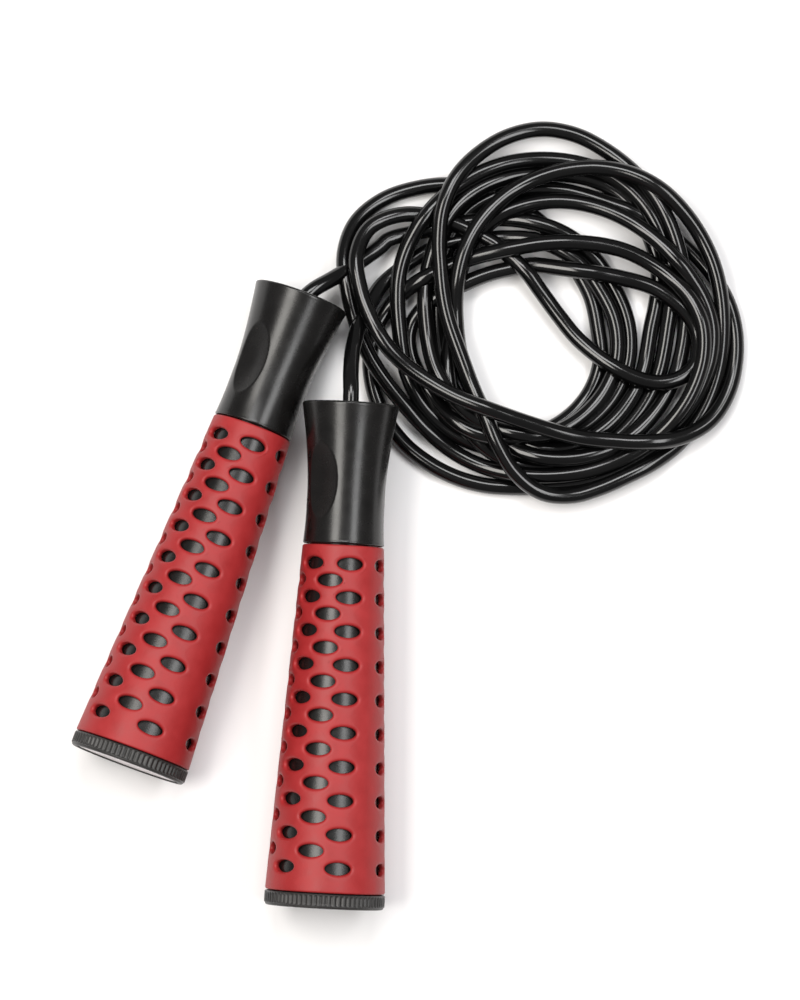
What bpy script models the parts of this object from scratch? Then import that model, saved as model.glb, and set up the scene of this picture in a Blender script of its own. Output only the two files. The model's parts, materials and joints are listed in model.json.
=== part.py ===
"""Jump rope: two flared handles with perforated grip sleeves on ball-bearing swivels, and one coiled cord.

Blender 4.5, metres, +Z up. The handles lie on the plane z = 0, and the origin is on that plane
under the middle of the two handles. Inside a handle's own frame the origin is at the middle of
the flared mouth, +Z runs along the handle's axis to the end cap, and +Y points up.
"""

import math

import bmesh
import bpy
from mathutils import Matrix, Vector

# ---- Driving dimensions -------------------------------------------------------------------

# Handle, as distances from the mouth along the axis and radii
HANDLE_LENGTH = 0.155
MOUTH_RADIUS = 0.015
WAIST_RADIUS = 0.012
FLARE_LENGTH = 0.027
FLARE_POWER = 1.6
WAIST_END = 0.033
HEAD_END = 0.0437
HEAD_END_RADIUS = 0.0125

SLEEVE_START = 0.044
SLEEVE_END = 0.1502
SLEEVE_START_RADIUS = 0.01255
SLEEVE_END_RADIUS = 0.01845
SLEEVE_WALL = 0.0018
SLEEVE_TO_CORE = 0.0022

# Holes of the grip sleeve: columns around it, a hole every pitch along it
COLUMNS = 12
HOLES_IN_COLUMN = 10
HOLE_PITCH = 0.01045
HOLE_AROUND = 0.0070
HOLE_ALONG = 0.0038
FIRST_COLUMN_DEG = 13
COLUMN_KINDS = "A-ABABA-ABAB"  # A starts half a pitch in, B a whole pitch in, - has no holes

# Core
CORE_END = 0.1486
CORE_WALL = 0.002
CORE_BORE = 0.0084
CORE_BORE_FRONT = 0.0190
THREAD_START = 0.1328
THREAD_RADIUS = 0.0133
BEARING_SEAT = 0.0082
BEARING_SEAT_SPAN = (0.0100, 0.0187)
BELL_MOUTH = [
    (0.0100, 0.0052), (0.0083, 0.0052), (0.0065, 0.0068), (0.0040, 0.0096), (0.0015, 0.0124),
    (0.0002, 0.0138),
]
MOUTH_CHAMFER = 0.0005
HEAD_STATIONS = (
    0.0006, 0.003, 0.006, 0.009, 0.012, 0.016, 0.020, 0.024, 0.028, 0.033, 0.038,
)
HEAD_CHAMFER = 0.0004
DENT_DEPTH = 0.0013
DENT_AT = 0.0245
DENT_HALF_LENGTH = 0.0115
DENT_HALF_WIDTH = 0.0056
DENT_DEG = -40
DENT_CUTTER_HEIGHT = 0.004

# End cap
CAP_FRONT = 0.1505
CAP_RADIUS = 0.0185
CAP_EDGE = 0.0006
CAP_END_CHAMFER = 0.0013
CAP_RIBS = 72
CAP_RIB_SPAN = (0.1509, 0.1541)
CAP_SHOULDER = 0.1545
RIB_DEPTH = 0.00035
SPIGOT_START = 0.1368
SPIGOT_END = 0.1520
SPIGOT_RADIUS = 0.0130
SPIGOT_BORE = 0.0108
LIP_BORE = 0.0168
RECESS_FLOOR = 0.1539
DISC_RADIUS = 0.0162
DISC_SPAN = (0.1542, 0.1551)
DISC_CHAMFER = 0.0002
SEAL_RADII = (0.0134, 0.0158)
SEAL_GAP = 0.0003

# Bearing: 8 x 16 x 5 mm deep-groove
BEARING_FRONT = 0.0103
BEARING_WIDTH = 0.005
BEARING_BORE = 0.004
BEARING_RADIUS = 0.008
BALL_CIRCLE = 0.006
BALL_RADIUS = 0.00115
BALLS = 7
BALL_CLEARANCE = 0.00012
OUTER_SHOULDER = 0.00675
INNER_SHOULDER = 0.00525
CAGE_HALF_WIDTH = 0.0016
CAGE_HALF_WALL = 0.0005
POCKET_CLEARANCE = 0.0002
RETAINER_SPAN = (0.0156, 0.0184)
RETAINER_RADII = (0.0069, 0.008)

# Cord
CORD_DIAMETER = 0.005
CORD_BORE = 0.0028
CORD_INNER_STATIONS = (0.0262, 0.0150, 0.0060)
CORD_SPACING = 0.004
BUSHING = [
    (0.0078, 0.0033), (0.0078, 0.0036), (0.0081, 0.00385), (0.0156, 0.00385), (0.0156, 0.0050),
    (0.0168, 0.0050), (0.0168, CORD_BORE), (0.0083, CORD_BORE),
]
WASHER_SPAN = (0.0171, 0.0181)
WASHER_RADIUS = 0.0050
FERRULE = [
    (0.0184, CORD_BORE), (0.0184, 0.0042), (0.0205, 0.0042), (0.0211, 0.0036), (0.0231, 0.0036),
    (0.0237, 0.0042), (0.0270, 0.0042), (0.0270, CORD_BORE),
]
COIL_CENTRE = (0.1011, 0.0886)
COIL_OUTER = 0.055
COIL_INNER = 0.024
COIL_HEIGHT = 0.018

# Where each handle lies: middle of its mouth, compass heading of its axis, rise towards the cap
HANDLES = {
    "left": {"mouth": (0.0200, 0.0927, 0.0150), "heading_deg": -110.15, "rise_deg": 1.36},
    "right": {"mouth": (0.0355, 0.0582, 0.0252), "heading_deg": -93.04, "rise_deg": -2.49},
}

# Free route of each lead from the mouth to the coil, chosen by hand
LEAD_ROUTES = {
    "left": [
        (0.0196, 0.0905, 0.0150), (0.0219, 0.0934, 0.0149), (0.0248, 0.0957, 0.0144),
        (0.0287, 0.0981, 0.0129), (0.0332, 0.1011, 0.0105), (0.0383, 0.1048, 0.0080),
        (0.0439, 0.1089, 0.0062), (0.0502, 0.1129, 0.0056),
    ],
    "right": [
        (0.0355, 0.0620, 0.0250), (0.0354, 0.0670, 0.0230), (0.0356, 0.0725, 0.0194),
        (0.0363, 0.0780, 0.0154), (0.0380, 0.0845, 0.0114), (0.0412, 0.0915, 0.0080),
        (0.0458, 0.0985, 0.0060),
    ],
}

TURNED_SIDES = 28
SMALL_SIDES = 18
COIL_SIDES = 32
COIL_SECTION_POINTS = 12
BALL_POCKET_SIDES = 8
DISC_SIDES = 32
RACE_SIDES = 24
SHARP_ANGLE = math.radians(35)


# ---- Helpers ------------------------------------------------------------------------------

def clear_scene():
    for item in list(bpy.data.objects):
        bpy.data.objects.remove(item, do_unlink=True)


def material(name, colour, roughness, metallic=0.0):
    made = bpy.data.materials.new(name)
    made.use_nodes = True
    shader = made.node_tree.nodes["Principled BSDF"]
    shader.inputs["Base Color"].default_value = (*colour, 1.0)
    shader.inputs["Roughness"].default_value = roughness
    shader.inputs["Metallic"].default_value = metallic
    return made


def add_object(name, mesh, surface, parent):
    mesh.materials.append(surface)
    made = bpy.data.objects.new(name, mesh)
    bpy.context.scene.collection.objects.link(made)
    made.parent = parent
    return made


def mesh_from(name, form):
    bmesh.ops.recalc_face_normals(form, faces=form.faces)
    mesh = bpy.data.meshes.new(name)
    form.to_mesh(mesh)
    form.free()
    mesh.shade_smooth()
    mesh.set_sharp_from_angle(angle=SHARP_ANGLE)
    return mesh


def turned_mesh(name, outline, sides=TURNED_SIDES):
    """A closed outline of (distance along the axis, radius) points, spun once around +Z."""
    form = bmesh.new()
    corners = [form.verts.new((radius, 0.0, along)) for along, radius in outline]
    edges = [form.edges.new(pair) for pair in zip(corners, corners[1:] + corners[:1])]
    bmesh.ops.spin(
        form, geom=corners + edges, axis=(0, 0, 1), cent=(0, 0, 0),
        angle=2 * math.pi, steps=sides, use_merge=True,
    )
    bmesh.ops.remove_doubles(form, verts=form.verts, dist=1e-6)
    bmesh.ops.dissolve_degenerate(form, edges=form.edges, dist=1e-7)
    return mesh_from(name, form)


def turned(name, outline, surface, parent, sides=TURNED_SIDES):
    return add_object(name, turned_mesh(name, outline, sides), surface, parent)


def tube(name, start, end, inner, outer, surface, parent, sides=SMALL_SIDES):
    outline = [(start, inner), (start, outer), (end, outer), (end, inner)]
    return turned(name, outline, surface, parent, sides)


def cut(target, cutter):
    """Takes a hidden helper away from a piece."""
    cutter.hide_render = True
    cutter.display_type = "WIRE"
    boolean = target.modifiers.new("cut", "BOOLEAN")
    boolean.operation = "DIFFERENCE"
    boolean.object = cutter


def around(radius, angle_deg, along):
    """A point at an angle measured from the top of the handle, towards its own +X."""
    angle = math.radians(angle_deg)
    return Vector((radius * math.sin(angle), radius * math.cos(angle), along))


def lerp(start, end, share):
    return start + (end - start) * share


# ---- Profiles -----------------------------------------------------------------------------

def head_radius(along):
    if along < FLARE_LENGTH:
        rise = (1 - along / FLARE_LENGTH) ** FLARE_POWER
        return WAIST_RADIUS + (MOUTH_RADIUS - WAIST_RADIUS) * rise
    rise = max(0.0, (along - WAIST_END) / (HEAD_END - WAIST_END)) ** 2
    return WAIST_RADIUS + (HEAD_END_RADIUS - WAIST_RADIUS) * rise


def sleeve_radius(along):
    share = (along - SLEEVE_START) / (SLEEVE_END - SLEEVE_START)
    return lerp(SLEEVE_START_RADIUS, SLEEVE_END_RADIUS, share)


def core_radius(along):
    return sleeve_radius(along) - SLEEVE_TO_CORE


# ---- Handle -------------------------------------------------------------------------------

def handle_axis(side):
    """An empty whose +Z is the handle's axis and whose origin is the middle of its mouth."""
    place = HANDLES[side]
    heading = math.radians(place["heading_deg"])
    rise = math.radians(place["rise_deg"])
    level = math.cos(rise)
    along = Vector((level * math.cos(heading), level * math.sin(heading), math.sin(rise)))
    across = along.cross(Vector((0, 0, 1))) * -1
    across.normalize()
    upwards = along.cross(across)
    turn = Matrix((across, upwards, along)).transposed().to_4x4()
    axis = bpy.data.objects.new(f"{side}_handle_axis", None)
    bpy.context.scene.collection.objects.link(axis)
    axis.matrix_world = Matrix.Translation(place["mouth"]) @ turn
    return axis


def core_outline():
    seat_front, seat_back = BEARING_SEAT_SPAN
    outline = [(0.0, MOUTH_RADIUS - MOUTH_CHAMFER)]
    outline += [(along, head_radius(along)) for along in HEAD_STATIONS]
    outline += [(HEAD_END - HEAD_CHAMFER, HEAD_END_RADIUS), (HEAD_END, HEAD_END_RADIUS - HEAD_CHAMFER)]
    outline += [(HEAD_END, core_radius(HEAD_END)), (CORE_END, core_radius(CORE_END))]
    outline += [(CORE_END, THREAD_RADIUS), (THREAD_START, THREAD_RADIUS)]
    outline += [(SLEEVE_START + CORE_WALL, CORE_BORE), (CORE_BORE_FRONT, CORE_BORE)]
    outline += [(seat_back, BEARING_SEAT), (seat_front, BEARING_SEAT)]
    return outline + BELL_MOUTH


def dent_cutter(name, parent):
    """An ellipsoid that leaves a shallow oval thumb rest in the head."""
    form = bmesh.new()
    bmesh.ops.create_uvsphere(form, u_segments=20, v_segments=12, radius=1.0)
    height = DENT_CUTTER_HEIGHT
    sink = math.sqrt(1 - (1 - DENT_DEPTH / height) ** 2)
    half_length = DENT_HALF_LENGTH / sink
    half_width = DENT_HALF_WIDTH / sink
    form.transform(Matrix.Diagonal((half_width, height, half_length, 1.0)))
    centre = around(WAIST_RADIUS + height - DENT_DEPTH, DENT_DEG, DENT_AT)
    turn = Matrix.Rotation(math.radians(-DENT_DEG), 4, "Z")
    form.transform(Matrix.Translation(centre) @ turn)
    mesh = mesh_from(name, form)
    made = bpy.data.objects.new(name, mesh)
    bpy.context.scene.collection.objects.link(made)
    made.parent = parent
    return made


def hole_cell(form, column_deg, low, high, has_hole):
    """One cell of the sleeve's sheet: eight points round its edge and, with a hole, eight round that."""
    half = 180 / COLUMNS
    middle = (low + high) / 2
    edge = [(half, low), (0, low), (-half, low), (-half, middle),
            (-half, high), (0, high), (half, high), (half, middle)]
    ring = [form.verts.new(around(sleeve_radius(z), column_deg + turn, z)) for turn, z in edge]
    if not has_hole:
        form.faces.new((ring[0], ring[1], ring[5], ring[6], ring[7]))
        form.faces.new((ring[1], ring[2], ring[3], ring[4], ring[5]))
        return
    hole = []
    radius = sleeve_radius(middle)
    for step in range(8):
        angle = math.radians(-45 - 45 * step)
        turn = math.degrees(HOLE_AROUND / 2 / radius) * math.cos(angle)
        z = middle + HOLE_ALONG / 2 * math.sin(angle)
        hole.append(form.verts.new(around(sleeve_radius(z), column_deg + turn, z)))
    for step in range(8):
        after = (step + 1) % 8
        form.faces.new((ring[step], ring[after], hole[after], hole[step]))


def plain_cells(form, column_deg, low, high):
    """Two plain faces across a column, where it has no hole at its end."""
    half = 180 / COLUMNS
    for left, right in ((-half, 0), (0, half)):
        corners = [(right, low), (left, low), (left, high), (right, high)]
        form.faces.new(
            [form.verts.new(around(sleeve_radius(z), column_deg + turn, z)) for turn, z in corners]
        )


def grip_sleeve(side, surface, parent):
    """The tapered rubber sleeve, as a sheet with its holes in it, thickened inwards."""
    holes_end = SLEEVE_START + HOLES_IN_COLUMN * HOLE_PITCH
    form = bmesh.new()
    for column, kind in enumerate(COLUMN_KINDS):
        column_deg = FIRST_COLUMN_DEG + column * 360 / COLUMNS
        shift = HOLE_PITCH / 2 if kind == "B" else 0.0
        cells = HOLES_IN_COLUMN - 1 if kind == "B" else HOLES_IN_COLUMN
        for cell in range(cells):
            low = SLEEVE_START + shift + cell * HOLE_PITCH
            hole_cell(form, column_deg, low, low + HOLE_PITCH, kind != "-")
        if kind == "B":
            plain_cells(form, column_deg, SLEEVE_START, SLEEVE_START + shift)
            plain_cells(form, column_deg, holes_end - shift, holes_end)
        plain_cells(form, column_deg, holes_end, SLEEVE_END)
    bmesh.ops.remove_doubles(form, verts=form.verts, dist=1e-6)
    name = f"{side}_grip_sleeve"
    mesh = mesh_from(name, form)
    made = add_object(name, mesh, surface, parent)
    thicken = made.modifiers.new("wall", "SOLIDIFY")
    thicken.thickness = SLEEVE_WALL
    thicken.offset = -1.0
    return made


def end_cap(side, surface, parent):
    """Screw cap: a ribbed rim, a recess for the disc and a hollow threaded spigot."""
    rings = [
        (SPIGOT_START, SPIGOT_BORE), (SPIGOT_START, SPIGOT_RADIUS), (CAP_FRONT, SPIGOT_RADIUS),
        (CAP_FRONT, CAP_RADIUS - CAP_EDGE),
    ]
    tail = [
        (CAP_SHOULDER, CAP_RADIUS - CAP_EDGE), (HANDLE_LENGTH, CAP_RADIUS - CAP_END_CHAMFER),
        (HANDLE_LENGTH, LIP_BORE), (RECESS_FLOOR, LIP_BORE), (RECESS_FLOOR, 0.0),
        (SPIGOT_END, 0.0), (SPIGOT_END, SPIGOT_BORE),
    ]
    form = bmesh.new()

    def turned_ring(along, radius, sides):
        if radius == 0.0:
            return [form.verts.new((0.0, 0.0, along))]
        return [
            form.verts.new(around(radius, 360 * step / sides, along)) for step in range(sides)
        ]

    def ribbed_ring(along):
        points = []
        for step in range(2 * CAP_RIBS):
            radius = CAP_RADIUS if step % 2 == 0 else CAP_RADIUS - RIB_DEPTH
            points.append(form.verts.new(around(radius, 180 * step / CAP_RIBS, along)))
        return points

    def join(first, second):
        """Faces between two rings, either the same size, a whole multiple apart, or one a point."""
        if len(first) < len(second):
            first, second = second, first
        share = len(first) // len(second)
        count = len(first)
        for step in range(count):
            after = (step + 1) % count
            near = second[(step // share) % len(second)]
            far = second[(after // share) % len(second)]
            corners = [first[step], first[after], far, near]
            form.faces.new(list(dict.fromkeys(corners)))

    sides = CAP_RIBS // 2
    loops = [turned_ring(along, radius, sides) for along, radius in rings]
    loops += [ribbed_ring(along) for along in CAP_RIB_SPAN]
    loops += [turned_ring(along, radius, sides) for along, radius in tail]
    for first, second in zip(loops, loops[1:] + loops[:1]):
        if len(first) + len(second) > 2:
            join(first, second)
    name = f"{side}_end_cap"
    return add_object(name, mesh_from(name, form), surface, parent)


def cap_pieces(side, surfaces, parent):
    end_cap(side, surfaces["cap"], parent)
    disc_back, disc_face = DISC_SPAN
    outline = [
        (disc_back, 0.0), (disc_back, DISC_RADIUS), (disc_face - DISC_CHAMFER, DISC_RADIUS),
        (disc_face, DISC_RADIUS - DISC_CHAMFER), (disc_face, 0.0),
    ]
    turned(f"{side}_cap_disc", outline, surfaces["disc"], parent, sides=DISC_SIDES)
    seal_front = CORE_END + SEAL_GAP
    tube(f"{side}_cap_seal", seal_front, SLEEVE_END, *SEAL_RADII, surfaces["seal"], parent)


# ---- Swivel -------------------------------------------------------------------------------

def race_outline(bore, shoulder, groove):
    """A bearing ring's section: bore or outside wall, and a groove that the balls run in."""
    back = BEARING_FRONT + BEARING_WIDTH
    middle = BEARING_FRONT + BEARING_WIDTH / 2
    half = BALL_RADIUS * 0.8
    slope = lerp(shoulder, groove, 0.8)
    return [
        (BEARING_FRONT, bore), (BEARING_FRONT, shoulder), (middle - half, shoulder),
        (middle - half / 2, slope), (middle, groove), (middle + half / 2, slope),
        (middle + half, shoulder), (back, shoulder), (back, bore),
    ]


def ball_cage(side, surface, parent):
    middle = BEARING_FRONT + BEARING_WIDTH / 2
    pocket_radius = BALL_RADIUS + POCKET_CLEARANCE
    cage = tube(
        f"{side}_bearing_cage", middle - CAGE_HALF_WIDTH, middle + CAGE_HALF_WIDTH,
        BALL_CIRCLE - CAGE_HALF_WALL, BALL_CIRCLE + CAGE_HALF_WALL, surface, parent,
        sides=RACE_SIDES,
    )
    form = bmesh.new()
    for ball in range(BALLS):
        angle_deg = 360 * ball / BALLS
        placed = Matrix.Translation(around(BALL_CIRCLE, angle_deg, middle))
        turn = Matrix.Rotation(math.radians(-angle_deg), 4, "Z") @ Matrix.Rotation(math.pi / 2, 4, "X")
        bmesh.ops.create_cone(
            form, cap_ends=True, segments=BALL_POCKET_SIDES, radius1=pocket_radius,
            radius2=pocket_radius, depth=6 * CAGE_HALF_WALL, matrix=placed @ turn,
        )
    cutter = bpy.data.objects.new(f"{side}_cage_cutter", mesh_from("cage_cutter", form))
    bpy.context.scene.collection.objects.link(cutter)
    cutter.parent = parent
    cut(cage, cutter)


def ball_mesh(side):
    form = bmesh.new()
    bmesh.ops.create_icosphere(form, subdivisions=2, radius=BALL_RADIUS)
    return mesh_from(f"{side}_ball", form)


def bearing(side, surfaces, parent):
    outer_groove = BALL_CIRCLE + BALL_RADIUS + BALL_CLEARANCE
    inner_groove = BALL_CIRCLE - BALL_RADIUS - BALL_CLEARANCE
    outer = race_outline(BEARING_RADIUS, OUTER_SHOULDER, outer_groove)
    inner = race_outline(BEARING_BORE, INNER_SHOULDER, inner_groove)
    turned(f"{side}_bearing_outer_race", outer, surfaces["steel"], parent, RACE_SIDES)
    turned(f"{side}_bearing_inner_race", inner, surfaces["steel"], parent, RACE_SIDES)
    ball_cage(side, surfaces["brass"], parent)
    mesh = ball_mesh(side)
    mesh.materials.append(surfaces["steel"])
    middle = BEARING_FRONT + BEARING_WIDTH / 2
    for ball in range(BALLS):
        made = bpy.data.objects.new(f"{side}_bearing_ball_{ball + 1}", mesh)
        bpy.context.scene.collection.objects.link(made)
        made.parent = parent
        made.location = around(BALL_CIRCLE, 360 * ball / BALLS, middle)
    retainer = (*RETAINER_SPAN, *RETAINER_RADII)
    tube(f"{side}_bearing_retainer", *retainer, surfaces["plastic"], parent)


def cord_anchor(side, surfaces, parent):
    """What holds the cord in the bearing: a flanged bushing, a washer and a crimped ferrule."""
    turned(f"{side}_rope_bushing", BUSHING, surfaces["plastic"], parent, SMALL_SIDES)
    washer = (*WASHER_SPAN, CORD_BORE, WASHER_RADIUS)
    tube(f"{side}_stop_washer", *washer, surfaces["steel"], parent)
    turned(f"{side}_rope_ferrule", FERRULE, surfaces["brass"], parent, SMALL_SIDES)


# ---- Cord ---------------------------------------------------------------------------------

def smooth_points(points, spacing):
    """Even points along one smooth curve through the given ones (Catmull-Rom)."""
    padded = [points[0] * 2 - points[1], *points, points[-1] * 2 - points[-2]]
    fine = []
    for before, start, end, after in zip(padded, padded[1:], padded[2:], padded[3:]):
        for step in range(20):
            t = step / 20
            fine.append(0.5 * (
                2 * start + (end - before) * t
                + (2 * before - 5 * start + 4 * end - after) * t ** 2
                + (3 * start - before - 3 * end + after) * t ** 3
            ))
    fine.append(points[-1])
    even = [fine[0]]
    for point in fine[1:]:
        if (point - even[-1]).length >= spacing:
            even.append(point)
    even[-1] = fine[-1]
    return even


def rope_lead(side, surface, axis):
    """The cord from its end inside the ferrule, straight out of the mouth and on to the coil."""
    inside = [axis.matrix_world @ Vector((0, 0, along)) for along in CORD_INNER_STATIONS]
    route = inside + [Vector(point) for point in LEAD_ROUTES[side]]
    curve = bpy.data.curves.new(f"{side}_rope_lead", "CURVE")
    curve.dimensions = "3D"
    curve.bevel_depth = CORD_DIAMETER / 2
    curve.bevel_resolution = 2
    curve.use_fill_caps = True
    line = smooth_points(route, CORD_SPACING)
    spline = curve.splines.new("POLY")
    spline.points.add(len(line) - 1)
    for point, place in zip(spline.points, line):
        point.co = (*place, 1.0)
    curve.materials.append(surface)
    made = bpy.data.objects.new(f"{side}_rope_lead", curve)
    bpy.context.scene.collection.objects.link(made)


def rope_coil(surface):
    """The space that the coiled cord fills: a turned ring lying flat."""
    middle = (COIL_OUTER + COIL_INNER) / 2
    half_width = (COIL_OUTER - COIL_INNER) / 2
    outline = []
    for step in range(COIL_SECTION_POINTS):
        angle = 2 * math.pi * step / COIL_SECTION_POINTS
        squash = abs(math.sin(angle)) ** 0.6 * math.copysign(1, math.sin(angle))
        outline.append((
            COIL_HEIGHT / 2 * (1 + squash),
            middle + half_width * math.cos(angle),
        ))
    made = turned("rope_coil", outline, surface, None, sides=COIL_SIDES)
    made.location = (*COIL_CENTRE, 0.0)


# ---- Assembly -----------------------------------------------------------------------------

def make_surfaces():
    return {
        "core": material("core_plastic", (0.016, 0.016, 0.017), 0.38),
        "sleeve": material("sleeve_rubber", (0.45, 0.045, 0.045), 0.6),
        "cap": material("cap_plastic", (0.035, 0.034, 0.033), 0.5),
        "disc": material("disc_metal", (0.72, 0.68, 0.68), 0.3, 1.0),
        "seal": material("seal_rubber", (0.02, 0.02, 0.02), 0.7),
        "steel": material("bearing_steel", (0.6, 0.6, 0.62), 0.2, 1.0),
        "brass": material("brass", (0.7, 0.5, 0.22), 0.3, 1.0),
        "plastic": material("white_plastic", (0.7, 0.7, 0.68), 0.45),
        "cord": material("cord_pvc", (0.012, 0.012, 0.013), 0.25),
    }


def make_handle(side, surfaces):
    axis = handle_axis(side)
    bpy.context.view_layer.update()
    core = turned(f"{side}_handle_core", core_outline(), surfaces["core"], axis)
    cut(core, dent_cutter(f"{side}_dent_cutter", axis))
    grip_sleeve(side, surfaces["sleeve"], axis)
    cap_pieces(side, surfaces, axis)
    bearing(side, surfaces, axis)
    cord_anchor(side, surfaces, axis)
    rope_lead(side, surfaces["cord"], axis)


def main():
    clear_scene()
    surfaces = make_surfaces()
    for side in HANDLES:
        make_handle(side, surfaces)
    rope_coil(surfaces["cord"])


main()
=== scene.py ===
"""Looks of the jump rope: handles, ribbed caps, perforated grips and the cord in its coil.

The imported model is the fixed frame. In a handle's own coordinates the origin is at the middle of
its flared mouth, +Z runs along the axis to the end cap and +Y points up.
"""

import json
import math

import bmesh
import bpy
import numpy as np
from mathutils import Matrix, Vector


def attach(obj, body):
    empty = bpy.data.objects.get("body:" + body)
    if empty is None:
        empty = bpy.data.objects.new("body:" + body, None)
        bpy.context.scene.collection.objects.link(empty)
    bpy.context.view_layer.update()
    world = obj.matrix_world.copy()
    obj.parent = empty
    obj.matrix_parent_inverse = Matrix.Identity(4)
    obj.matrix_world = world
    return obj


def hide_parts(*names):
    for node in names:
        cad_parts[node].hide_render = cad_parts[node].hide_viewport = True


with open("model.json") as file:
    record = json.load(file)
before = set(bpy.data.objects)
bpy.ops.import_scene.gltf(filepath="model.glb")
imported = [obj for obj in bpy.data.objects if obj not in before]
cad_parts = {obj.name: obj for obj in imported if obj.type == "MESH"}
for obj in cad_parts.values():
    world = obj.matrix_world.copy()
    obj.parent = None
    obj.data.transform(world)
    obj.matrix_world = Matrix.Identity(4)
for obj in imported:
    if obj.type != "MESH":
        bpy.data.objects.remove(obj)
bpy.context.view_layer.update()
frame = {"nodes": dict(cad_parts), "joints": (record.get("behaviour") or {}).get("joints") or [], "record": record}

SIDES = ("left", "right")

# ---- Handle dimensions, in metres: distances from the mouth and radii -----------------------

BEARING_MIDDLE = 0.0128
MOUTH_RADIUS = 0.015
WAIST_RADIUS = 0.012
FLARE_LENGTH = 0.027
FLARE_POWER = 1.6
WAIST_END = 0.033
HEAD_END = 0.0437
HEAD_END_RADIUS = 0.0125
SLEEVE_START = 0.044
SLEEVE_END = 0.1502
SLEEVE_START_RADIUS = 0.01255
SLEEVE_END_RADIUS = 0.01845
SLEEVE_WALL = 0.0018
SLEEVE_TO_CORE = 0.0022
SLEEVE_ROUNDING = 0.0006
HOLE_AROUND = 0.0083
HOLE_ALONG = 0.0039
HOLE_PITCH = 0.01045
RIM_SPREAD = 0.0011
RIM_DEPTH = 0.0009
CELL_SWAY_DEG = 9
COLUMNS = 12
HOLES_IN_COLUMN = 10
FIRST_COLUMN_DEG = 13
COLUMN_KINDS = "A-ABABA-ABAB"
CORE_END = 0.1486
THREAD_START = 0.1328
THREAD_RADIUS = 0.0133
CORE_BORE = 0.0084
CORE_BORE_START = 0.046
LIP_ROUNDING = 0.0007
RACE_SEAT = (0.0100, 0.0190)
RACE_SEAT_RADIUS = 0.0082
NECK_BORE = 0.0052
BELL_RADIUS = 0.0136
BELL_END = 0.0083
BELL_POWER = 0.85
DENT_AT = 0.0245
DENT_HALF_LENGTH = 0.0115
DENT_DEG = -40
DENT_HALF_DEG = 27
DENT_DEPTH = 0.0016
CAP_FRONT = 0.1505
CAP_RADIUS = 0.0185
CAP_RIBS = 72
RIB_DEPTH = 0.00035
HANDLE_LENGTH = 0.155
CAP_RIB_SPAN = (0.1509, 0.1541)
SPIGOT_START = 0.1368
SPIGOT_END = 0.1520
SPIGOT_RADIUS = 0.0130
SPIGOT_BORE = 0.0108
LIP_BORE = 0.0168
RECESS_FLOOR = 0.1539
DISC_RADIUS = 0.0162
DISC_BACK = 0.1542
DISC_FACE = 0.1546

# ---- Cord -----------------------------------------------------------------------------------

CORD_DIAMETER = 0.005
CORD_INNER_STATIONS = (0.0262, 0.0150, 0.0060)
COIL_CENTRE = (0.0943, 0.0845)

# Free route of each lead, from the mouth to where its turns start
LEAD_ROUTES = {
    "left": [
        (0.0196, 0.0905, 0.0150), (0.0219, 0.0934, 0.0149), (0.0248, 0.0957, 0.0144),
        (0.0287, 0.0981, 0.0129), (0.0332, 0.1011, 0.0105), (0.0383, 0.1048, 0.0080),
        (0.0439, 0.1089, 0.0062), (0.0502, 0.1129, 0.0056),
    ],
    "right": [
        (0.0355, 0.0620, 0.0250), (0.0354, 0.0670, 0.0230), (0.0356, 0.0725, 0.0194),
        (0.0363, 0.0780, 0.0154), (0.0380, 0.0845, 0.0114), (0.0412, 0.0915, 0.0080),
        (0.0458, 0.0985, 0.0060),
    ],
}

# Turns of the coil, clockwise from the west: every 30 degrees, the cord's distance from the
# coil's middle in millimetres, and the layer it starts to settle from. The cord is wound double:
# the turns that start at the left handle and those that start at the right meet in the bight.
TURNS = {
    "left": [
        ((38, 31.8, 28, 26, 27.5, 30.5, 34, 38, 41, 42.5), (1, 0, 0, 0, 0, 1, 0, 0, 0, 1)),
        ((42.5, 47.2, 50.2, 51.9, 51.6, 46.5, 40, 40, 41.5, 43, 40, 34),
         (1, 1, 2, 1, 1, 1, 1, 0, 0, 0, 1, 1)),
        ((29, 31, 36.5, 39.4, 42.3, 46.4, 53, 52.5, 50.5, 49, 53.5, 56),
         (0, 0, 1, 1, 1, 3, 2, 1, 0, 0, 0, 0)),
        ((51, 35, 26.3, 25.1, 29.4, 39.8, 52, 53, 49.5, 46.7, 46.3, 47.7),
         (0, 2, 2, 2, 2, 2, 3, 2, 1, 1, 0, 1)),
        ((55.7, 65.1, 52, 34.5, 24, 20.3, 19.5, 23, 28, 34, 38.5, 39.5),
         (2, 1, 0, 0, 0, 0, 0, 0, 0, 1, 2, 0)),
        ((40.2, 27.5, 21.3, 19.8), (0, 1, 1, 1)),
    ],
    "right": [
        ((44, 32, 26.5, 23, 21.5, 23.5, 27, 31, 35.5, 37, 36), (0, 0, 0, 1, 1, 1, 0, 1, 2, 1, 2)),
        ((35.3, 39.2, 46, 48.5, 50.3, 44.5, 36, 36, 37.5, 38.5, 34, 30),
         (1, 1, 1, 0, 0, 0, 0, 1, 0, 1, 0, 0)),
        ((28.8, 31.4, 37.8, 46.4, 54.5, 57.2, 57.0, 56.2, 52.8, 51.5, 33.7, 26.6),
         (1, 3, 4, 3, 3, 2, 1, 0, 1, 2, 2, 1)),
        ((27.5, 35.5, 52.6, 61.8, 55.4, 47.2, 44, 44, 43.5, 40.5, 36, 32.5),
         (2, 3, 3, 2, 2, 2, 0, 1, 1, 2, 0, 1)),
        ((31, 35, 42.8, 43.9, 45, 51.5, 59.3, 59.2, 42.1, 33, 32, 38.9),
         (0, 0, 0, 0, 0, 0, 0, 1, 3, 3, 4, 4)),
        ((52.7, 61, 31.5), (3, 2, 0)),
    ],
}
STATION_DEG = 30
FIRST_STATION = {"left": 2, "right": 1}
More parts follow.
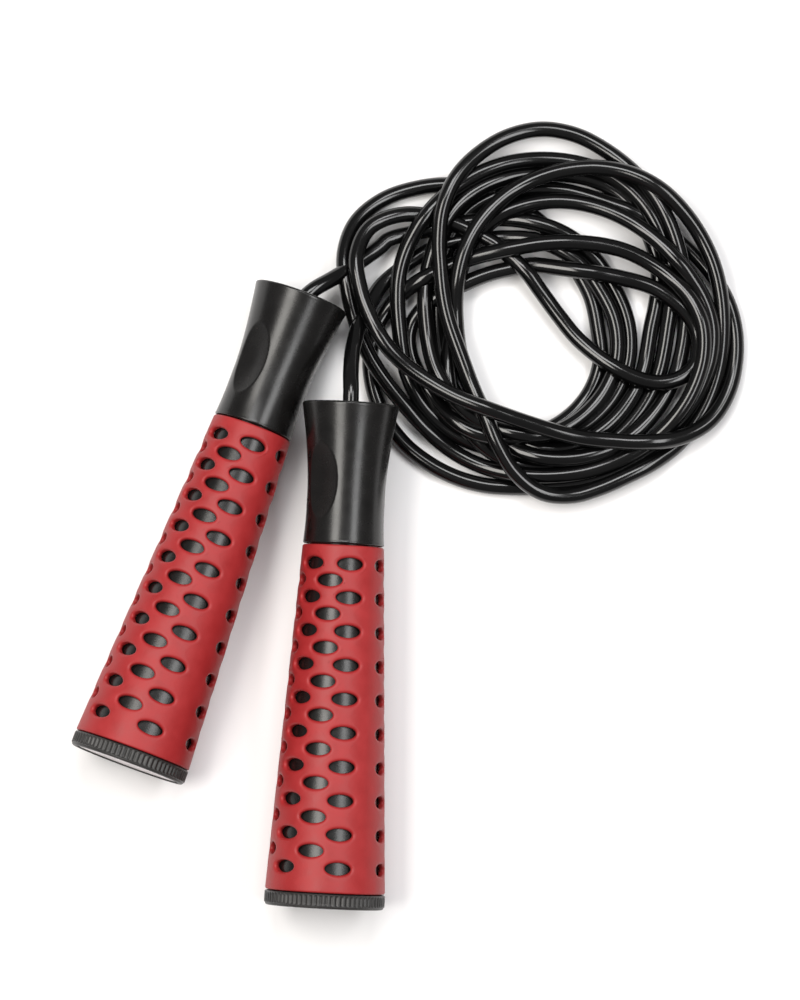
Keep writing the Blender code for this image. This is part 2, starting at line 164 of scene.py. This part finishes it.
LAYER_PITCH = 1.05

# The bight at the middle of the cord, in millimetres, and its layer
BIGHT = [
    (106.1, 102.3), (119.1, 100.1), (130.5, 96.6), (139.2, 90.2), (143.4, 84.0), (144.4, 77.6),
    (142.8, 72.0), (138.0, 68.0), (131.0, 66.6), (122.8, 68.6), (114.4, 73.4), (106.1, 80.5),
    (99.9, 88.2), (94.6, 95.4), (89.8, 101.8), (83.0, 108.2),
]
BIGHT_LAYER = 1.6

# How the cord settles, step by step: lengths in metres, and shares of each move
CORD_SPACING = 0.0025
SETTLE_STEPS = 420
HELD_END = 0.024
FREED_OVER = 0.050
NEIGHBOURS = 8
REACH_DIAMETERS = 1.9
STIFF_START = 0.6
STIFF_END = 0.2
FALL = 0.00006
MOST_LIFT = 0.0008
ASIDE = 0.12
HANDLE_MARGIN = 0.0002


# ---- Handle frames and profiles -------------------------------------------------------------

def handle_matrix(side):
    """From a handle's own coordinates to the row frame."""
    swivel = next(j for j in frame["joints"] if j["name"] == f"{side}_swivel")
    along = Vector(swivel["axis"]).normalized()
    mouth = Vector(swivel["pos_m"]) - along * BEARING_MIDDLE
    across = (along.cross(Vector((0, 0, 1))) * -1).normalized()
    upwards = along.cross(across)
    turn = Matrix((across, upwards, along)).transposed().to_4x4()
    return Matrix.Translation(mouth) @ turn


HANDLE = {side: handle_matrix(side) for side in SIDES}


def lerp(start, end, share):
    return start + (end - start) * share


def smoothstep(x):
    x = np.clip(x, 0, 1)
    return x * x * (3 - 2 * x)


def head_radius(along):
    rise = np.clip(1 - along / FLARE_LENGTH, 0, 1) ** FLARE_POWER
    swell = np.clip((along - WAIST_END) / (HEAD_END - WAIST_END), 0, 1) ** 2
    flare = (MOUTH_RADIUS - WAIST_RADIUS) * rise
    return WAIST_RADIUS + flare + (HEAD_END_RADIUS - WAIST_RADIUS) * swell


def sleeve_radius(along):
    share = (along - SLEEVE_START) / (SLEEVE_END - SLEEVE_START)
    return lerp(SLEEVE_START_RADIUS, SLEEVE_END_RADIUS, share)


def arc(centre, radius, start_deg, end_deg, steps):
    """Points of a round in a profile: (along, radius) at angles from +along towards +radius."""
    angles = np.radians(np.linspace(start_deg, end_deg, steps + 1))
    return [(centre[0] + radius * math.cos(a), centre[1] + radius * math.sin(a)) for a in angles]


# ---- Mesh building --------------------------------------------------------------------------

def new_mesh_object(name, points, faces, smooth_deg=40):
    mesh = bpy.data.meshes.new(name)
    mesh.from_pydata([tuple(p) for p in points], [], faces)
    mesh.validate()
    mesh.shade_smooth()
    mesh.set_sharp_from_angle(angle=math.radians(smooth_deg))
    made = bpy.data.objects.new(name, mesh)
    bpy.context.scene.collection.objects.link(made)
    return made


def turned(name, profile, steps, radius_change=None):
    """A closed profile of (along, radius) turned round the handle's axis. radius_change, if
    given, takes arrays of along and angle and returns what to add to the radius. Points with no
    radius become one point."""
    profile = np.array(profile, float)
    angles = np.linspace(0, 2 * math.pi, steps, endpoint=False)
    along = np.repeat(profile[:, 0][:, None], steps, axis=1)
    radius = np.repeat(profile[:, 1][:, None], steps, axis=1)
    if radius_change is not None:
        radius = radius + radius_change(np.arange(len(profile)), along, angles[None, :])
    rows, points = [], []
    for k in range(len(profile)):
        if profile[k, 1] == 0:
            rows.append([len(points)])
            points.append((0.0, 0.0, profile[k, 0]))
            continue
        rows.append(list(range(len(points), len(points) + steps)))
        ring = np.stack([radius[k] * np.sin(angles), radius[k] * np.cos(angles), along[k]], 1)
        points.extend(ring)
    faces = []
    for first, second in zip(rows, rows[1:] + rows[:1]):
        if len(first) == 1 and len(second) == 1:
            continue
        for step in range(steps):
            after = (step + 1) % steps
            ring = [first[step % len(first)], first[after % len(first)],
                    second[after % len(second)], second[step % len(second)]]
            faces.append(tuple(dict.fromkeys(ring)))
    return new_mesh_object(name, points, faces)


def place(piece, side, body, slot, surface, *nodes):
    """Puts a piece made in a handle's own coordinates where its handle lies."""
    piece.data.transform(HANDLE[side])
    piece.data.materials.append(surface)
    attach(piece, body)
    if nodes:
        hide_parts(*nodes)
    return piece


# ---- Materials ------------------------------------------------------------------------------

def new_material(name, colour, roughness, metallic=0.0, specular=0.5):
    made = bpy.data.materials.new(name)
    made.use_nodes = True
    shader = made.node_tree.nodes["Principled BSDF"]
    shader.inputs["Base Color"].default_value = (*colour, 1)
    shader.inputs["Roughness"].default_value = roughness
    shader.inputs["Metallic"].default_value = metallic
    shader.inputs["Specular IOR Level"].default_value = specular
    return made, made.node_tree, shader


def noise(tree, scale, detail=3.0):
    """A noise texture in the object's own metres, with features about 1 / scale across."""
    coordinates = tree.nodes.new("ShaderNodeTexCoord")
    made = tree.nodes.new("ShaderNodeTexNoise")
    made.inputs["Scale"].default_value = scale
    made.inputs["Detail"].default_value = detail
    tree.links.new(coordinates.outputs["Object"], made.inputs["Vector"])
    return made.outputs["Fac"]


def ramp(tree, source, low, high, low_value, high_value):
    """Maps source from low..high to low_value..high_value, which are numbers or colours."""
    colour = hasattr(low_value, "__len__")
    made = tree.nodes.new("ShaderNodeValToRGB" if colour else "ShaderNodeMapRange")
    if colour:
        made.color_ramp.elements[0].position = low
        made.color_ramp.elements[1].position = high
        made.color_ramp.elements[0].color = (*low_value, 1)
        made.color_ramp.elements[1].color = (*high_value, 1)
        tree.links.new(source, made.inputs["Fac"])
        return made.outputs["Color"]
    made.inputs["From Min"].default_value = low
    made.inputs["From Max"].default_value = high
    made.inputs["To Min"].default_value = low_value
    made.inputs["To Max"].default_value = high_value
    tree.links.new(source, made.inputs["Value"])
    return made.outputs["Result"]


def bump(tree, shader, height, distance):
    made = tree.nodes.new("ShaderNodeBump")
    made.inputs["Strength"].default_value = 1.0
    made.inputs["Distance"].default_value = distance
    tree.links.new(height, made.inputs["Height"])
    tree.links.new(made.outputs["Normal"], shader.inputs["Normal"])


def textured(name, dark, light, roughness, grain, relief, **finish):
    """A material whose colour, roughness and relief vary a little with two sizes of noise."""
    made, tree, shader = new_material(name, light, sum(roughness) / 2, **finish)
    patches = noise(tree, grain / 8)
    fine = noise(tree, grain, detail=4)
    tree.links.new(ramp(tree, patches, 0.3, 0.7, dark, light), shader.inputs["Base Color"])
    tree.links.new(ramp(tree, patches, 0.3, 0.7, *roughness), shader.inputs["Roughness"])
    bump(tree, shader, fine, relief)
    return made


def make_materials():
    return {
        "core_plastic": textured(
            "satin_black_plastic", (0.0040, 0.0037, 0.0036), (0.0062, 0.0058, 0.0056),
            (0.24, 0.29), 1400, 0.000012, specular=0.36,
        ),
        "grip_rubber": textured(
            "red_rubber", (0.25, 0.012, 0.013), (0.295, 0.0165, 0.018), (0.46, 0.56), 1600, 0.00003,
            specular=0.34,
        ),
        "cap_plastic": textured(
            "charcoal_plastic", (0.011, 0.010, 0.0095), (0.016, 0.0148, 0.014),
            (0.42, 0.55), 1200, 0.00002,
        ),
        "disc_metal": textured(
            "satin_metal", (0.56, 0.51, 0.52), (0.60, 0.555, 0.565), (0.30, 0.34), 2200, 0.000006,
            metallic=1.0,
        ),
        "seal_rubber": textured(
            "black_seal_rubber", (0.015, 0.015, 0.015), (0.025, 0.025, 0.025),
            (0.6, 0.8), 900, 0.00003,
        ),
        "bearing_steel": textured(
            "bearing_steel", (0.55, 0.55, 0.57), (0.66, 0.66, 0.68), (0.12, 0.25), 3000, 0.000003,
            metallic=1.0,
        ),
        "brass": textured(
            "brass", (0.55, 0.36, 0.14), (0.68, 0.47, 0.2), (0.25, 0.4), 2000, 0.000006,
            metallic=1.0,
        ),
        "bushing_plastic": textured(
            "white_nylon", (0.62, 0.62, 0.59), (0.72, 0.72, 0.69), (0.4, 0.55), 1500, 0.00001,
        ),
        "cord_pvc": textured(
            "black_pvc", (0.0016, 0.0016, 0.0017), (0.0028, 0.0028, 0.0029), (0.12, 0.17), 420,
            0.000005, specular=0.42,
        ),
    }


# ---- Handle pieces --------------------------------------------------------------------------

def head_profile():
    """The core's closed section, from the mouth's lip back to the thread and forward inside."""
    lip = arc((LIP_ROUNDING, MOUTH_RADIUS - 0.0008), LIP_ROUNDING, 180, 90, 6)
    stations = np.linspace(0.0012, HEAD_END - 0.0008, 120)
    outer = [(along, float(head_radius(along))) for along in stations]
    shoulder = arc((HEAD_END - 0.0006, HEAD_END_RADIUS - 0.0006), 0.0006, 90, 0, 5)
    core_front = sleeve_radius(HEAD_END) - SLEEVE_TO_CORE
    core_back = sleeve_radius(CORE_END) - SLEEVE_TO_CORE
    shaft = [
        (lerp(HEAD_END, CORE_END, share), lerp(core_front, core_back, share))
        for share in np.linspace(0, 1, 40)
    ]
    inside = [
        (CORE_END, THREAD_RADIUS), (THREAD_START, THREAD_RADIUS),
        (CORE_BORE_START, CORE_BORE), (RACE_SEAT[1], CORE_BORE),
        (RACE_SEAT[1] - 0.0003, RACE_SEAT_RADIUS), (RACE_SEAT[0], RACE_SEAT_RADIUS),
        (RACE_SEAT[0], NECK_BORE),
    ]

    def bell_radius(along):
        share = (along - LIP_ROUNDING) / (BELL_END - LIP_ROUNDING)
        return NECK_BORE + (BELL_RADIUS - NECK_BORE) * (1 - share) ** BELL_POWER

    bell = [(along, bell_radius(along)) for along in np.linspace(BELL_END, LIP_ROUNDING, 18)]
    return lip + outer + shoulder + shaft + inside + bell


def handle_core(side, surfaces):
    profile = head_profile()
    outside = np.array([
        radius > float(head_radius(along)) - 0.00002 and along < HEAD_END - 0.0007
        for along, radius in profile
    ])

    def thumb_rest(rows, along, angles):
        across = (np.degrees(angles) - DENT_DEG + 180) % 360 - 180
        reach = ((along - DENT_AT) / DENT_HALF_LENGTH) ** 2 + (across / DENT_HALF_DEG) ** 2
        depth = DENT_DEPTH * np.clip(1 - reach, 0, 1)
        return -depth * outside[rows][:, None]

    core = turned(f"{side}_core", profile, 256, thumb_rest)
    place(core, side, f"{side}_handle", "core_plastic", surfaces["core_plastic"],
          f"{side}_handle_core")


class Sheet:
    """The sleeve's wall: outer and inner skins over (angle, along), joined through each hole."""

    ALONG_STEPS = 8
    AROUND_STEPS = 10

    def __init__(self):
        self.points = []
        self.faces = []
        self.index = {}

    def vertex(self, turn_deg, along, depth):
        """One point of the wall; the same place gives the same point."""
        key = (round(turn_deg % 360, 3), round(along * 1e6), round(depth * 1e6))
        if key not in self.index:
            inner = SLEEVE_START + SLEEVE_ROUNDING
            outer = SLEEVE_END - SLEEVE_ROUNDING
            share = (along - SLEEVE_START) / (SLEEVE_END - SLEEVE_START)
            placed = lerp(inner, outer, share)
            radius = float(sleeve_radius(placed)) - depth
            angle = math.radians(turn_deg)
            self.index[key] = len(self.points)
            self.points.append((radius * math.sin(angle), radius * math.cos(angle), placed))
        return self.index[key]

    @staticmethod
    def swayed(turn_deg, along):
        """Where a cell's edge runs: it keeps clear of the holes on either side of it."""
        wave = math.sin(math.pi * (turn_deg - FIRST_COLUMN_DEG) / (360 / COLUMNS))
        phase = 2 * math.pi * ((along - SLEEVE_START) / HOLE_PITCH - 0.5)
        return turn_deg + CELL_SWAY_DEG * wave * math.cos(phase)

    def patch(self, column_deg, low, high, along_steps, depth):
        """A plain piece of skin, one column wide."""
        half = 180 / COLUMNS
        turns = np.linspace(-half, half, self.AROUND_STEPS + 1) + column_deg
        alongs = np.linspace(low, high, along_steps + 1)
        for a, b in zip(alongs, alongs[1:]):
            for c, d in zip(turns, turns[1:]):
                corners = [(c, a), (d, a), (d, b), (c, b)]
                self.faces.append(tuple(
                    self.vertex(self.swayed(turn, z), z, depth) for turn, z in corners
                ))

    def edge(self, low, high):
        """Points round a cell's edge, as (turn from the column's middle, along)."""
        half = 180 / COLUMNS
        turns = np.linspace(-half, half, self.AROUND_STEPS + 1)
        alongs = np.linspace(low, high, self.ALONG_STEPS + 1)
        found = [(t, low) for t in turns[:-1]] + [(half, z) for z in alongs[:-1]]
        found += [(t, high) for t in turns[:0:-1]] + [(-half, z) for z in alongs[:0:-1]]
        return found

    def holed(self, column_deg, low, high):
        """A cell with its hole: outer skin, rounded rim, wall and inner skin, as rings."""
        middle = (low + high) / 2
        edge = self.edge(low, high)
        spans = [math.atan2((z - middle) / (high - low), t / (360 / COLUMNS)) for t, z in edge]

        def ring(spread, depth, share):
            """Between the hole's outline grown by spread metres, at 0, and the cell's edge, at 1."""
            found = []
            for (t, z), span in zip(edge, spans):
                hole_z = middle + (HOLE_ALONG / 2 + spread) * math.sin(span)
                across = (HOLE_AROUND / 2 + spread) * math.cos(span)
                hole_t = math.degrees(across / (float(sleeve_radius(hole_z)) - depth))
                edge_t = self.swayed(column_deg + t, z)
                found.append(self.vertex(
                    lerp(column_deg + hole_t, edge_t, share), lerp(hole_z, z, share), depth,
                ))
            return found

        rings = [ring(RIM_SPREAD, 0.0, share) for share in (1.0, 0.66, 0.33)]
        for angle in np.radians([0, 15, 30, 45, 60, 75, 90]):
            spread = RIM_SPREAD * (1 - math.sin(angle))
            rings.append(ring(spread, RIM_DEPTH * (1 - math.cos(angle)) + 0.00002, 0.0))
        rings += [ring(0.0, SLEEVE_WALL, share) for share in (0.0, 1.0)]
        for first, second in zip(rings, rings[1:]):
            for step in range(len(edge)):
                after = (step + 1) % len(edge)
                self.faces.append((first[step], first[after], second[after], second[step]))

    def end(self, along, outward):
        """The rounded end of the sleeve, from the outer skin to the inner one."""
        turns = np.linspace(0, 360, COLUMNS * self.AROUND_STEPS, endpoint=False)
        turns = turns + FIRST_COLUMN_DEG - 180 / COLUMNS
        turns = [self.swayed(turn, along) for turn in turns]
        rows = [[self.vertex(turn, along, 0.0) for turn in turns]]
        flat = SLEEVE_START + SLEEVE_ROUNDING if outward < 0 else SLEEVE_END - SLEEVE_ROUNDING
        section = [
            (SLEEVE_ROUNDING * math.sin(a), SLEEVE_ROUNDING * (1 - math.cos(a)))
            for a in np.radians([18, 36, 54, 72, 90])
        ]
        section.append((SLEEVE_ROUNDING, SLEEVE_WALL))
        for proud, depth in section:
            placed = flat + outward * proud
            radius = float(sleeve_radius(placed)) - depth
            row = []
            for turn in np.radians(turns):
                row.append(len(self.points))
                self.points.append((radius * math.sin(turn), radius * math.cos(turn), placed))
            rows.append(row)
        rows.append([self.vertex(turn, along, SLEEVE_WALL) for turn in turns])
        for first, second in zip(rows, rows[1:]):
            for step in range(len(turns)):
                after = (step + 1) % len(turns)
                self.faces.append((first[step], first[after], second[after], second[step]))


def grip_sleeve(side, surfaces):
    sheet = Sheet()
    steps = Sheet.ALONG_STEPS
    holes_end = SLEEVE_START + HOLES_IN_COLUMN * HOLE_PITCH
    for column, kind in enumerate(COLUMN_KINDS):
        column_deg = FIRST_COLUMN_DEG + column * 360 / COLUMNS
        shift = HOLE_PITCH / 2 if kind == "B" else 0.0
        cells = HOLES_IN_COLUMN - 1 if kind == "B" else HOLES_IN_COLUMN
        plain = [(holes_end, SLEEVE_END, 2)]
        if kind == "B":
            plain += [(SLEEVE_START, SLEEVE_START + shift, steps // 2)]
            plain += [(holes_end - shift, holes_end, steps // 2)]
        for cell in range(cells):
            low = SLEEVE_START + shift + cell * HOLE_PITCH
            if kind == "-":
                plain.append((low, low + HOLE_PITCH, steps))
            else:
                sheet.holed(column_deg, low, low + HOLE_PITCH)
        for low, high, count in plain:
            for depth in (0.0, SLEEVE_WALL):
                sheet.patch(column_deg, low, high, count, depth)
    sheet.end(SLEEVE_START, -1)
    sheet.end(SLEEVE_END, 1)
    sleeve = new_mesh_object(f"{side}_sleeve", sheet.points, sheet.faces, smooth_deg=75)
    recalculate_normals(sleeve)
    place(sleeve, side, f"{side}_handle", "grip_rubber", surfaces["grip_rubber"],
          f"{side}_grip_sleeve")


def recalculate_normals(piece):
    form = bmesh.new()
    form.from_mesh(piece.data)
    bmesh.ops.recalc_face_normals(form, faces=form.faces)
    form.to_mesh(piece.data)
    form.free()


def end_cap(side, surfaces):
    ribs_start, ribs_end = CAP_RIB_SPAN
    front = arc((CAP_FRONT + 0.0003, CAP_RADIUS - 0.0004), 0.0003, 180, 90, 3)
    ribbed = [(along, CAP_RADIUS) for along in np.linspace(ribs_start, ribs_end, 9)]
    shoulder = arc((HANDLE_LENGTH - 0.0007, CAP_RADIUS - 0.0010), 0.0007, 90, 0, 6)
    recess = [
        (HANDLE_LENGTH, LIP_BORE + 0.0002), (HANDLE_LENGTH - 0.0002, LIP_BORE),
        (RECESS_FLOOR, LIP_BORE), (RECESS_FLOOR, 0.0), (SPIGOT_END, 0.0),
        (SPIGOT_END, SPIGOT_BORE), (SPIGOT_START, SPIGOT_BORE), (SPIGOT_START, SPIGOT_RADIUS),
        (CAP_FRONT, SPIGOT_RADIUS),
    ]
    profile = front + ribbed + shoulder + recess
    first, last = len(front), len(front) + len(ribbed)

    def ribs(rows, along, angles):
        wave = (0.5 - 0.5 * np.cos(CAP_RIBS * angles)) ** 1.5
        inside = (rows >= first) & (rows < last)
        ends = np.minimum(along - ribs_start, ribs_end - along)
        return -RIB_DEPTH * wave * inside[:, None] * smoothstep(ends / 0.0005 + 0.2)

    cap = turned(f"{side}_cap", profile, CAP_RIBS * 8, ribs)
    recalculate_normals(cap)
    place(cap, side, f"{side}_cap", "cap_plastic", surfaces["cap_plastic"], f"{side}_end_cap")


def cap_disc(side, surfaces):
    edge = arc((DISC_FACE - 0.0002, DISC_RADIUS - 0.0002), 0.0002, 90, 0, 4)
    face = [(DISC_FACE, DISC_RADIUS * share) for share in (0.8, 0.6, 0.4, 0.2)]
    profile = [(DISC_BACK, 0.0), (DISC_BACK, DISC_RADIUS)] + edge + face + [(DISC_FACE, 0.0)]
    disc = turned(f"{side}_disc", profile, 128)
    recalculate_normals(disc)
    place(disc, side, f"{side}_cap", "disc_metal", surfaces["disc_metal"], f"{side}_cap_disc")


# ---- Cord -----------------------------------------------------------------------------------

def catmull_rom(points, steps):
    """A smooth curve through rows of numbers."""
    points = np.array(points, float)
    padded = np.vstack([2 * points[0] - points[1], points, 2 * points[-1] - points[-2]])
    t = np.linspace(0, 1, steps, endpoint=False)[:, None]
    found = []
    for before, start, end, after in zip(padded, padded[1:], padded[2:], padded[3:]):
        found.append(0.5 * (
            2 * start + (end - before) * t + (2 * before - 5 * start + 4 * end - after) * t ** 2
            + (3 * start - before - 3 * end + after) * t ** 3
        ))
    return np.vstack(found + [points[-1:]])


def resampled(line, spacing):
    gone = np.concatenate([[0], np.cumsum(np.linalg.norm(np.diff(line, axis=0), axis=1))])
    at = np.linspace(0, gone[-1], int(round(gone[-1] / spacing)) + 1)
    return np.stack([np.interp(at, gone, line[:, k]) for k in range(3)], axis=1)


def blurred(values, sigma):
    """Values along the cord, smoothed over sigma points, with the ends held."""
    reach = int(3 * sigma)
    weights = np.exp(-0.5 * (np.arange(-reach, reach + 1) / sigma) ** 2)
    weights /= weights.sum()
    start = 2 * values[0] - values[reach:0:-1]
    end = 2 * values[-1] - values[-2:-reach - 2:-1]
    padded = np.concatenate([start, values, end])
    columns = [np.convolve(column, weights, "valid") for column in padded.T]
    return np.stack(columns, axis=1)


def coil_points(side):
    """The turns that start at one handle, worked out every few degrees from their stations."""
    radii = [radius for turn in TURNS[side] for radius in turn[0]]
    layers = [layer for turn in TURNS[side] for layer in turn[1]]
    stations = [
        (STATION_DEG * k, radius, layer)
        for k, (radius, layer) in enumerate(zip(radii, layers), FIRST_STATION[side])
    ]
    fine = catmull_rom(stations, 6)
    angle = np.radians(180 - fine[:, 0])
    radius = fine[:, 1] / 1000
    height = CORD_DIAMETER * (0.5 + LAYER_PITCH * fine[:, 2])
    return np.stack([
        COIL_CENTRE[0] + radius * np.cos(angle), COIL_CENTRE[1] + radius * np.sin(angle), height,
    ], 1)


def cord_start(side):
    return [tuple(HANDLE[side] @ Vector((0, 0, along))) for along in CORD_INNER_STATIONS]


def cord_route():
    bight_height = CORD_DIAMETER * (0.5 + BIGHT_LAYER)
    bight = [(x / 1000, y / 1000, bight_height) for x, y in BIGHT]
    first = np.vstack([cord_start("left"), LEAD_ROUTES["left"], coil_points("left")[::2]])
    last = np.vstack([cord_start("right"), LEAD_ROUTES["right"], coil_points("right")[::2]])
    line = catmull_rom(np.vstack([first, bight, last[::-1]]), 8)
    return resampled(line, CORD_SPACING)


def clear_of_handle(line, side, free):
    """Moves free points of the cord's line that lie inside a handle out to its surface."""
    to_local = np.array(HANDLE[side].inverted())
    to_world = np.array(HANDLE[side])
    local = line @ to_local[:3, :3].T + to_local[:3, 3]
    along = local[:, 2]
    body = np.where(along < SLEEVE_START, head_radius(along), sleeve_radius(along))
    reach = body + CORD_DIAMETER / 2 + HANDLE_MARGIN
    out = np.linalg.norm(local[:, :2], axis=1)
    inside = (along > -CORD_DIAMETER / 2) & (along < HANDLE_LENGTH) & (out < reach) & (free[:, 0] > 0.9)
    local[inside, :2] *= (reach / np.maximum(out, 1e-6))[inside, None]
    return local @ to_world[:3, :3].T + to_world[:3, 3]


def settle(line):
    """Lets the cord come down under its own weight: turns rest on the floor and on each other,
    while its stiffness keeps it smooth."""
    count = len(line)
    start = line.copy()
    held = int(round(HELD_END / CORD_SPACING))
    freed = int(round(FREED_OVER / CORD_SPACING))
    from_end = np.minimum(np.arange(count), count - 1 - np.arange(count))
    free = smoothstep((from_end - held) / freed)[:, None]
    lower, upper = np.triu_indices(count, NEIGHBOURS)
    reach = REACH_DIAMETERS * CORD_DIAMETER
    near = ((line[lower] - line[upper])[:, :2] ** 2).sum(1) < reach ** 2
    lower, upper = lower[near], upper[near]
    order = blurred(line, 5.0)[:, 2]
    above = np.where(order[lower] >= order[upper], 1.0, -1.0)
    for step in range(SETTLE_STEPS):
        stiff = lerp(STIFF_START, STIFF_END, step / SETTLE_STEPS)
        moved = blurred(line - start, 4.0) * 0.98
        heights = lerp(line[:, 2:3], blurred(line[:, 2:3], 3.0), stiff)
        line = np.hstack([lerp(line, start + moved, stiff)[:, :2], heights])
        line[:, 2] -= FALL
        apart = line[lower] - line[upper]
        level = np.linalg.norm(apart[:, :2], axis=1)
        needed = np.sqrt(np.maximum(0, CORD_DIAMETER ** 2 - level ** 2))
        lift = np.clip(needed - above * apart[:, 2], 0, MOST_LIFT) * above * 0.5
        over = np.maximum(0, CORD_DIAMETER - np.linalg.norm(apart, axis=1))
        aside = apart[:, :2] / np.maximum(level, 1e-6)[:, None] * over[:, None] * ASIDE
        total = np.zeros_like(line)
        for k, push in enumerate((aside[:, 0], aside[:, 1], lift)):
            total[:, k] += np.bincount(lower, push, count) - np.bincount(upper, push, count)
        touching = np.bincount(lower, lift != 0, count) + np.bincount(upper, lift != 0, count)
        line += total / np.maximum(touching, 1)[:, None] ** 0.7
        line = lerp(start, line, free)
        line = clear_of_handle(clear_of_handle(line, "left", free), "right", free)
        line[:, 2] = np.maximum(line[:, 2], CORD_DIAMETER / 2)
    level_place = (start + blurred(line - start, 3.0))[:, :2]
    settled = np.hstack([level_place, blurred(line, 2.0)[:, 2:]])
    settled[:, 2] = np.maximum(settled[:, 2], CORD_DIAMETER / 2)
    return lerp(line, settled, free)


def make_cord(surfaces):
    line = settle(cord_route())
    line = resampled(catmull_rom(line, 4), CORD_DIAMETER / 4)
    curve = bpy.data.curves.new("rope", "CURVE")
    curve.dimensions = "3D"
    curve.bevel_depth = CORD_DIAMETER / 2
    curve.bevel_resolution = 6
    curve.use_fill_caps = True
    spline = curve.splines.new("POLY")
    spline.points.add(len(line) - 1)
    spline.points.foreach_set("co", np.c_[line, np.ones(len(line))].ravel())
    spline.use_smooth = True
    curve.materials.append(surfaces["cord_pvc"])
    rope = bpy.data.objects.new("rope", curve)
    bpy.context.scene.collection.objects.link(rope)
    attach(rope, "rope")
    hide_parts("rope_coil", "left_rope_lead", "right_rope_lead")


# ---- Studio ---------------------------------------------------------------------------------

def make_floor():
    half = 0.6
    mesh = bpy.data.meshes.new("floor")
    corners = [(-half, -half, 0), (half, -half, 0), (half, half, 0), (-half, half, 0)]
    mesh.from_pydata(corners, [], [(0, 1, 2, 3)])
    made, _, shader = new_material("floor_white", (0.80, 0.795, 0.80), 0.9, specular=0.1)
    mesh.materials.append(made)
    floor = bpy.data.objects.new("floor", mesh)
    bpy.context.scene.collection.objects.link(floor)
    floor.location.z = -0.0002


def area_light(name, location, target, size, power, colour=(1, 1, 1)):
    light = bpy.data.lights.new(name, "AREA")
    light.shape = "RECTANGLE"
    light.size, light.size_y = size
    light.energy = power
    light.color = colour
    made = bpy.data.objects.new(name, light)
    bpy.context.scene.collection.objects.link(made)
    made.location = location
    made.rotation_euler = (Vector(target) - Vector(location)).to_track_quat("-Z", "Y").to_euler()


def make_studio():
    make_floor()
    world = bpy.data.worlds.new("studio")
    world.use_nodes = True
    world.node_tree.nodes["Background"].inputs["Color"].default_value = (1.0, 0.985, 0.985, 1)
    world.node_tree.nodes["Background"].inputs["Strength"].default_value = 0.23
    bpy.context.scene.world = world
    aim = (0.05, 0.03, 0.0)
    area_light("box_left", (-0.50, 0.05, 1.2), aim, (0.95, 0.46), 16.5, (1.0, 0.97, 0.92))
    area_light("box_right", (0.70, 0.05, 1.2), aim, (0.95, 0.38), 10.5)
    area_light("box_back", (0.08, 0.62, 1.25), aim, (0.55, 0.40), 8)


def make_camera():
    """Almost straight down, from the end caps' side, far enough off that the view is nearly flat."""
    target = Vector((0.0506, 0.0306, 0.0))
    elevation = math.radians(85)
    distance = 1.656
    camera_data = bpy.data.cameras.new("camera")
    camera_data.sensor_width = 36
    camera_data.lens = 190.8
    camera = bpy.data.objects.new("camera", camera_data)
    bpy.context.scene.collection.objects.link(camera)
    camera.location = target + Vector((0, -math.cos(elevation), math.sin(elevation))) * distance
    camera.rotation_euler = (math.pi / 2 - elevation, 0, 0)
    bpy.context.scene.camera = camera


# ---- Assembly -------------------------------------------------------------------------------

def finish_cad_nodes(surfaces):
    """The CAD pieces that stay take the same procedural materials, by their slots."""
    slots = {s["node"]: s["material_slot"] for s in frame["record"]["subparts"]}
    for name, node in frame["nodes"].items():
        node.data.materials.clear()
        node.data.materials.append(surfaces[slots[name]])


def main():
    make_camera()
    surfaces = make_materials()
    finish_cad_nodes(surfaces)
    make_cord(surfaces)
    for side in SIDES:
        handle_core(side, surfaces)
        grip_sleeve(side, surfaces)
        end_cap(side, surfaces)
        cap_disc(side, surfaces)
    make_studio()
    bpy.context.scene.view_settings.view_transform = "Standard"


main()
